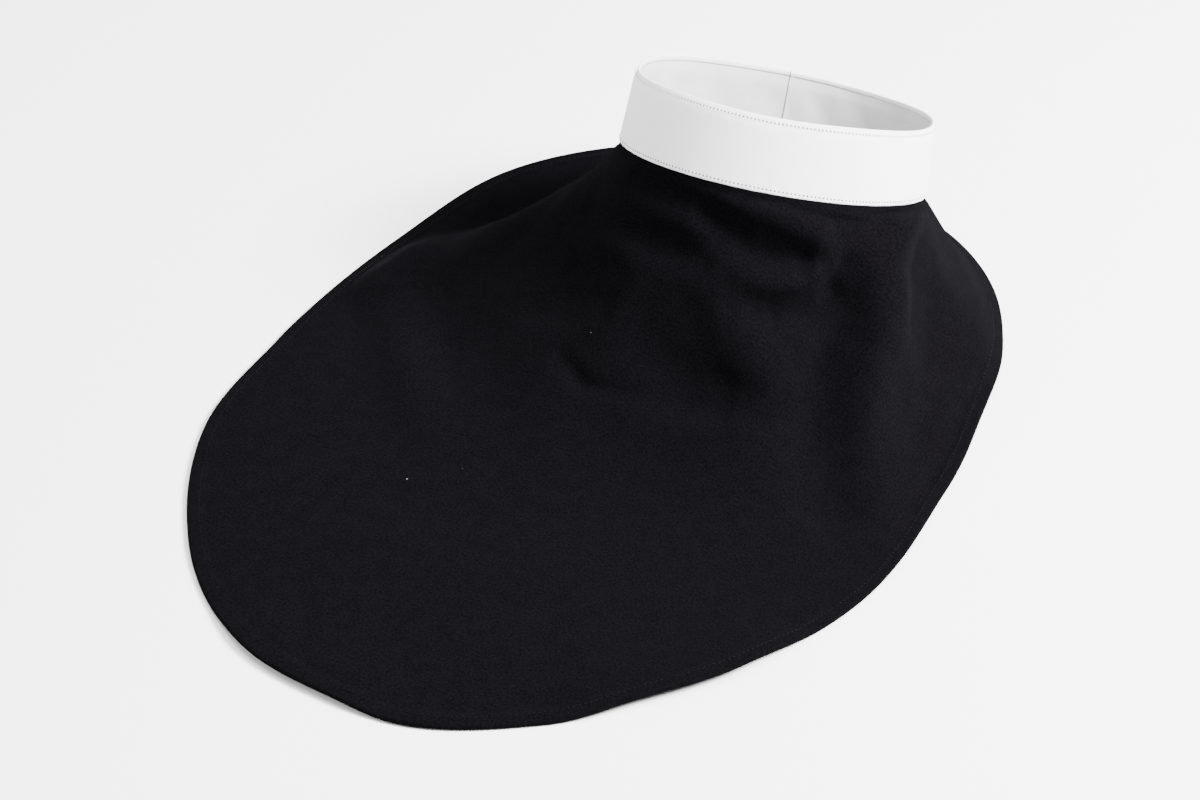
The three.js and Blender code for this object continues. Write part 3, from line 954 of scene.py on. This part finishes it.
lint_size = calculate(twill_tree, "MULTIPLY", lint_share, lint_radius)
lint = calculate(twill_tree, "LESS_THAN", lint_cells.outputs["Distance"], lint_size)
lint_tone = add_node(
    twill_tree, "ShaderNodeMix", {0: lint, 6: nap_tone.outputs[2], 7: lint_colour}, data_type="RGBA"
)
twill_height = calculate(twill_tree, "ADD", twill_threads.outputs["Height"], nap.outputs[0])
twill_bump = add_node(
    twill_tree, "ShaderNodeBump", {"Height": twill_height, "Strength": 0.5, "Distance": twill_relief}
)
twill_tree.links.new(lint_tone.outputs[2], twill_shader.inputs["Base Color"])
twill_tree.links.new(twill_bump.outputs[0], twill_shader.inputs["Normal"])
twill_shader.inputs["Roughness"].default_value = 0.9
twill_shader.inputs["Specular IOR Level"].default_value = 0.0
twill_shader.inputs["Sheen Weight"].default_value = 0.01
twill_shader.inputs["Sheen Roughness"].default_value = 0.45
twill_shader.inputs["Sheen Tint"].default_value = (0.8, 0.78, 0.9, 1)
bib.data.materials.append(twill)
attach(bib, "root")
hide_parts("bib_cloth")

# The hem's stitches: one row of black thread a little inside the edge, which holds the turned hem down.
# They lie on the cloth and go with it.
hem_stitch = 0.0022
hem_row_place = 0.0058
thread_black = (0.004, 0.0038, 0.0046, 1)
black_thread_painted_ply_shade = (0.002, 0.0019, 0.0023, 1)
hem_line = bib_upper[:, -len(hem_rows):][:, np.argmin(np.abs(hem_rows - hem_row_place))]
hem_walk = np.concatenate([[0], np.cumsum(np.linalg.norm(np.diff(hem_line, axis=0), axis=1))])
hem_places = np.arange(hem_stitch, hem_walk[-1], hem_stitch)
hem_holes = np.stack([np.interp(hem_places, hem_walk, hem_line[:, axis]) for axis in range(3)], axis=-1)
black_thread = thread_material("black_thread", thread_black, black_thread_painted_ply_shade)
black_thread.node_tree.nodes["Principled BSDF"].inputs["Specular IOR Level"].default_value = 0.05
hem_stitches = sew("hem_stitches", [hem_holes], stitch_share, thread_radius, black_thread)
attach(hem_stitches, "root")

# The stage, which isn't part of the object: a pale floor a hair below the cloth, a strong soft lamp on
# the right and a little behind, a weak one on the left and a broad one above.
floor_half = 3
floor_drop = 0.0002
floor_corners = [(x * floor_half, y * floor_half, 0) for x, y in ((-1, -1), (1, -1), (1, 1), (-1, 1))]
floor_mesh = bpy.data.meshes.new("floor")
floor_mesh.from_pydata(floor_corners, [], [(0, 1, 2, 3)])
floor = bpy.data.objects.new("floor", floor_mesh)
floor.location.z = -floor_drop
bpy.context.scene.collection.objects.link(floor)
paper, paper_tree, paper_shader = new_material("floor_paper")
paper_shader.inputs["Base Color"].default_value = (0.97, 0.97, 0.97, 1)
paper_shader.inputs["Roughness"].default_value = 0.9
floor_mesh.materials.append(paper)


def soft_lamp(name, place, aim, size, power):
    """A square area lamp that looks at a point."""
    lamp = bpy.data.objects.new(name, bpy.data.lights.new(name, "AREA"))
    lamp.data.shape = "SQUARE"
    lamp.data.size = size
    lamp.data.energy = power
    lamp.location = place
    lamp.rotation_euler = (Vector(aim) - Vector(place)).to_track_quat("-Z", "Y").to_euler()
    bpy.context.scene.collection.objects.link(lamp)


# Lamps, in metres and watts. Columns: name; place; size; power.
lamp_aim = (0, 0.05, 0.03)
lamps = [
    ("lamp_right", (1.35, 0.4, 1.35), 0.7, 250),
    ("lamp_left", (-1.1, -1.0, 0.9), 1.2, 20),
    ("lamp_above", (0.2, 0.1, 2.2), 1.6, 75),
]
for lamp_name, lamp_place, lamp_size, lamp_power in lamps:
    soft_lamp(lamp_name, lamp_place, lamp_aim, lamp_size, lamp_power)
studio_white = (1, 1, 1, 1)
studio_strength = 0.4
world = bpy.data.worlds.new("studio")
bpy.context.scene.world = world
world.use_nodes = True
world.node_tree.nodes["Background"].inputs["Color"].default_value = studio_white
world.node_tree.nodes["Background"].inputs["Strength"].default_value = studio_strength
